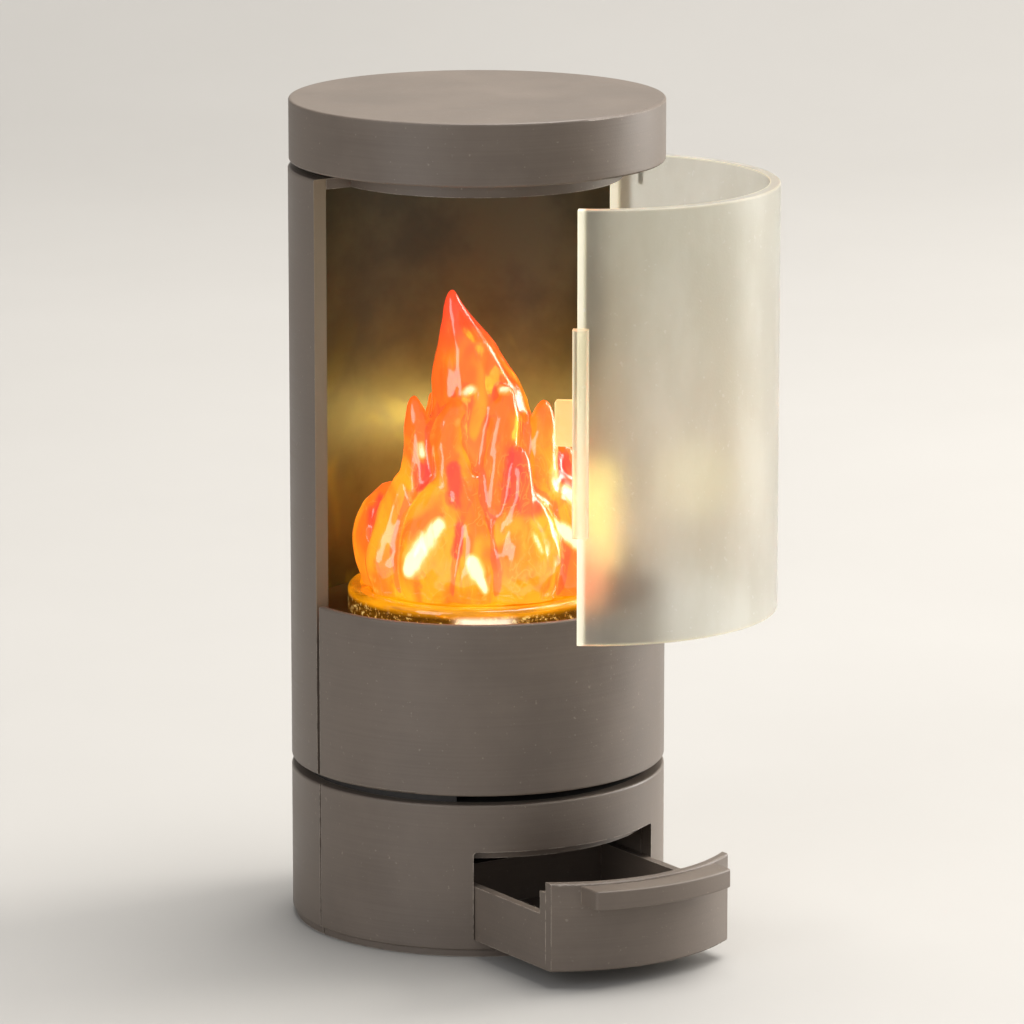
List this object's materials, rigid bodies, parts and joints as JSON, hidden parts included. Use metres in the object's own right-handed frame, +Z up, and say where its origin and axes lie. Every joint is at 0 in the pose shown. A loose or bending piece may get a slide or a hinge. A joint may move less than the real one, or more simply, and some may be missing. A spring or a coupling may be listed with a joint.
{
  "type": "dolls house stove",
  "caption": "Miniature round log-burner stove with a swinging curved clear door, a pull-out ash drawer and a lit resin flame.",
  "frame": {"origin": "centre of the round underside, on the surface that the stove stands on", "axes": "+Z up along the stove's axis, -Y towards the front where the drawer pulls out, +X to the hinge side"},
  "size_m": [0.0459, 0.0607, 0.0928],
  "materials": {
    "body_paint": "semi-matte warm taupe paint on a moulding",
    "floor_paint": "matte dark brown paint",
    "dark_plastic": "matte dark moulding",
    "black_plastic": "satin black",
    "steel": "plain",
    "cell_steel": "bright nickel",
    "contact_metal": "plain sheet",
    "frosted_clear": "frosted clear, slightly yellow edges",
    "amber_clear": "clear amber, moulded",
    "flame_resin": "translucent orange casting, glossy",
    "led_lens": "clear lens, lit",
    "circuit_board": "green board"
  },
  "bodies": {
    "stove": {"base_plate": "dark_plastic", "base_front_shell": "body_paint", "base_back_shell": "body_paint", "base_top_plate": "dark_plastic", "base_screws": "steel", "drawer_housing": "body_paint", "neck_ring": "dark_plastic", "neck_screws": "steel", "body_bottom": "dark_plastic", "back_shell": "body_paint", "front_panel": "body_paint", "firebox_floor": "floor_paint", "top_plate": "body_paint", "top_cap": "body_paint", "cap_screws": "steel", "flame_disc": "amber_clear", "flame": "flame_resin", "led": "led_lens", "led_board": "circuit_board", "board_screws": "steel", "coin_cell": "cell_steel", "battery_holder": "dark_plastic", "positive_contact": "contact_metal", "negative_contact": "contact_metal", "battery_cover": "body_paint", "cover_screw": "steel", "switch_body": "dark_plastic"},
    "door": {"door_glass": "frosted_clear", "door_handle": "frosted_clear", "upper_hinge_pin": "steel", "lower_hinge_pin": "steel"},
    "drawer": {"drawer_box": "body_paint", "drawer_front": "body_paint", "drawer_handle": "body_paint"},
    "switch": {"switch_knob": "black_plastic"}
  },
  "joints": [
    {"name": "door_swing", "type": "hinge", "parent": "stove", "child": "door", "pos_m": [0.01957, -0.00358, 0.06], "axis": [0, 0, 1], "range_deg": [-50.5, 60]},
    {"name": "drawer_slide", "type": "slide", "parent": "stove", "child": "drawer", "axis": [0, -1, 0], "range_m": [-0.015, 0.003]},
    {"name": "switch_slide", "type": "slide", "parent": "stove", "child": "switch", "axis": [1, 0, 0], "range_m": [-0.002, 0]}
  ]
}
